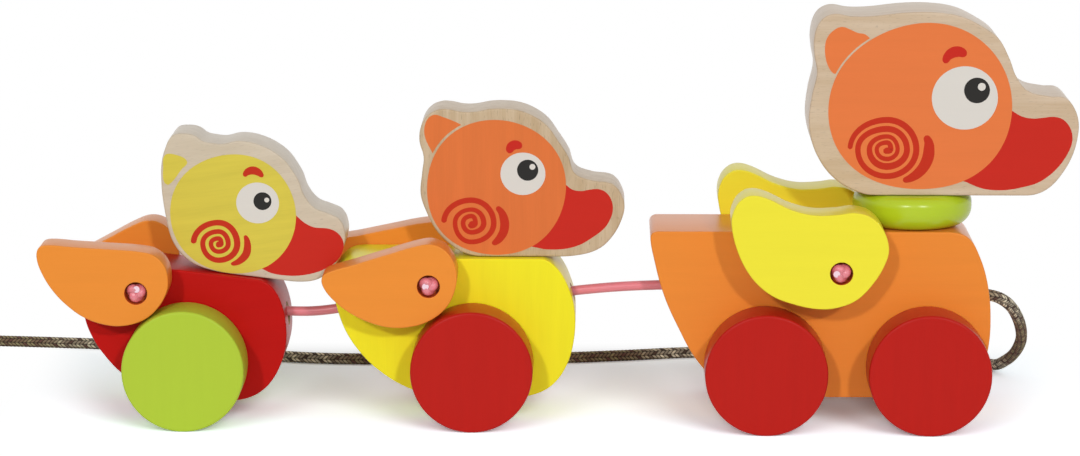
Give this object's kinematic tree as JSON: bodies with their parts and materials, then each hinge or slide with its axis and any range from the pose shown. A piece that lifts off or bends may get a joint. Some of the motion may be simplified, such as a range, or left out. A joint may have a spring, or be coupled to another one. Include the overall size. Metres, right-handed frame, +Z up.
{
  "type": "walk-along duck toy",
  "caption": "Wooden pull-along toy: a large duck on wheels tows smaller ducks on short elastic links, with wings that turn and a braided pull cord.",
  "frame": {"origin": "middle of the toy's footprint, on the floor", "axes": "+X the way the ducks face, +Y to their left, +Z up"},
  "size_m": [0.5233, 0.1822, 0.1704],
  "materials": {
    "bare_wood": "sanded",
    "orange_body": "satin paint all over",
    "yellow_body": "satin paint all over",
    "red_body": "satin paint all over",
    "yellow_wing": "satin paint all over",
    "orange_wing": "satin paint all over",
    "wood_orange_face": "printed paint on bare wood",
    "wood_yellow_face": "printed paint on bare wood",
    "green_gloss": "gloss lacquer",
    "red_wheel": "satin paint",
    "green_wheel": "satin paint",
    "pink_elastic": "smooth",
    "braided_cord": "braided"
  },
  "bodies": {
    "mother": {"mother_body": "orange_body", "mother_head": "wood_orange_face", "mother_neck_ring": "green_gloss", "mother_neck_dowel": "bare_wood", "mother_wing_cord": "pink_elastic", "pull_cord": "braided_cord", "pull_cord_coil": "braided_cord", "pull_cord_knot": "braided_cord"},
    "mother_front_wheels": {"mother_front_axle": "bare_wood", "mother_front_wheel_left": "red_wheel", "mother_front_wheel_right": "red_wheel"},
    "mother_rear_wheels": {"mother_rear_axle": "bare_wood", "mother_rear_wheel_left": "red_wheel", "mother_rear_wheel_right": "red_wheel"},
    "mother_right_wing": {"mother_wing_right": "yellow_wing"},
    "mother_left_wing": {"mother_wing_left": "yellow_wing"},
    "front_link": {"front_link_cord": "pink_elastic"},
    "rear_link": {"rear_link_cord": "pink_elastic"},
    "duckling_2": {"duckling_2_body": "yellow_body", "duckling_2_head": "wood_orange_face", "duckling_2_head_dowel": "bare_wood", "duckling_2_wing_cord": "pink_elastic"},
    "duckling_2_wheels": {"duckling_2_axle": "bare_wood", "duckling_2_wheel_left": "red_wheel", "duckling_2_wheel_right": "red_wheel"},
    "duckling_2_right_wing": {"duckling_2_wing_right": "orange_wing"},
    "duckling_2_left_wing": {"duckling_2_wing_left": "orange_wing"},
    "duckling_1": {"duckling_1_body": "red_body", "duckling_1_head": "wood_yellow_face", "duckling_1_head_dowel": "bare_wood", "duckling_1_wing_cord": "pink_elastic"},
    "duckling_1_wheels": {"duckling_1_axle": "bare_wood", "duckling_1_wheel_left": "green_wheel", "duckling_1_wheel_right": "green_wheel"},
    "duckling_1_right_wing": {"duckling_1_wing_right": "orange_wing"},
    "duckling_1_left_wing": {"duckling_1_wing_left": "orange_wing"}
  },
  "joints": [
    {"name": "mother_front_axle_spin", "type": "hinge", "parent": "mother", "child": "mother_front_wheels", "pos_m": [0.1533, 0, 0.025], "axis": [0, 1, 0], "continuous": true},
    {"name": "mother_rear_axle_spin", "type": "hinge", "parent": "mother", "child": "mother_rear_wheels", "pos_m": [0.0869, 0, 0.025], "axis": [0, 1, 0], "continuous": true},
    {"name": "mother_right_wing_turn", "type": "hinge", "parent": "mother", "child": "mother_right_wing", "pos_m": [0.1168, -0.0322, 0.0669], "axis": [0, 1, 0], "range_deg": [-16, 55]},
    {"name": "mother_left_wing_turn", "type": "hinge", "parent": "mother", "child": "mother_left_wing", "pos_m": [0.1131, 0.0322, 0.0671], "axis": [0, 1, 0], "range_deg": [-14, 55]},
    {"name": "mother_tail_swing", "type": "hinge", "parent": "mother", "child": "front_link", "pos_m": [0.0485, 0, 0.0544], "axis": [0, 0, 1], "range_deg": [-6, 30]},
    {"name": "duckling_2_swing", "type": "hinge", "parent": "front_link", "child": "duckling_2", "pos_m": [0.0049, 0, 0.0514], "axis": [0, 0, 1], "range_deg": [-7, 30]},
    {"name": "duckling_2_axle_spin", "type": "hinge", "parent": "duckling_2", "child": "duckling_2_wheels", "pos_m": [-0.0331, 0, 0.025], "axis": [0, 1, 0], "continuous": true},
    {"name": "duckling_2_right_wing_turn", "type": "hinge", "parent": "duckling_2", "child": "duckling_2_right_wing", "pos_m": [-0.0506, -0.02595, 0.0596], "axis": [0, 1, 0], "range_deg": [-8, 80]},
    {"name": "duckling_2_left_wing_turn", "type": "hinge", "parent": "duckling_2", "child": "duckling_2_left_wing", "pos_m": [-0.0522, 0.02595, 0.0598], "axis": [0, 1, 0], "range_deg": [-10, 80]},
    {"name": "duckling_2_tail_swing", "type": "hinge", "parent": "duckling_2", "child": "rear_link", "pos_m": [-0.0863, 0, 0.0446], "axis": [0, 0, 1], "range_deg": [-6, 6]},
    {"name": "duckling_1_swing", "type": "hinge", "parent": "rear_link", "child": "duckling_1", "pos_m": [-0.11391, 0, 0.04314], "axis": [0, 0, 1], "range_deg": [-6, 6]},
    {"name": "duckling_1_axle_spin", "type": "hinge", "parent": "duckling_1", "child": "duckling_1_wheels", "pos_m": [-0.1508, 0, 0.025], "axis": [0, 1, 0], "continuous": true},
    {"name": "duckling_1_right_wing_turn", "type": "hinge", "parent": "duckling_1", "child": "duckling_1_right_wing", "pos_m": [-0.16991, -0.02595, 0.05646], "axis": [0, 1, 0], "range_deg": [-10, 35]},
    {"name": "duckling_1_left_wing_turn", "type": "hinge", "parent": "duckling_1", "child": "duckling_1_left_wing", "pos_m": [-0.16812, 0.02595, 0.06037], "axis": [0, 1, 0], "range_deg": [-2, 80]}
  ]
}
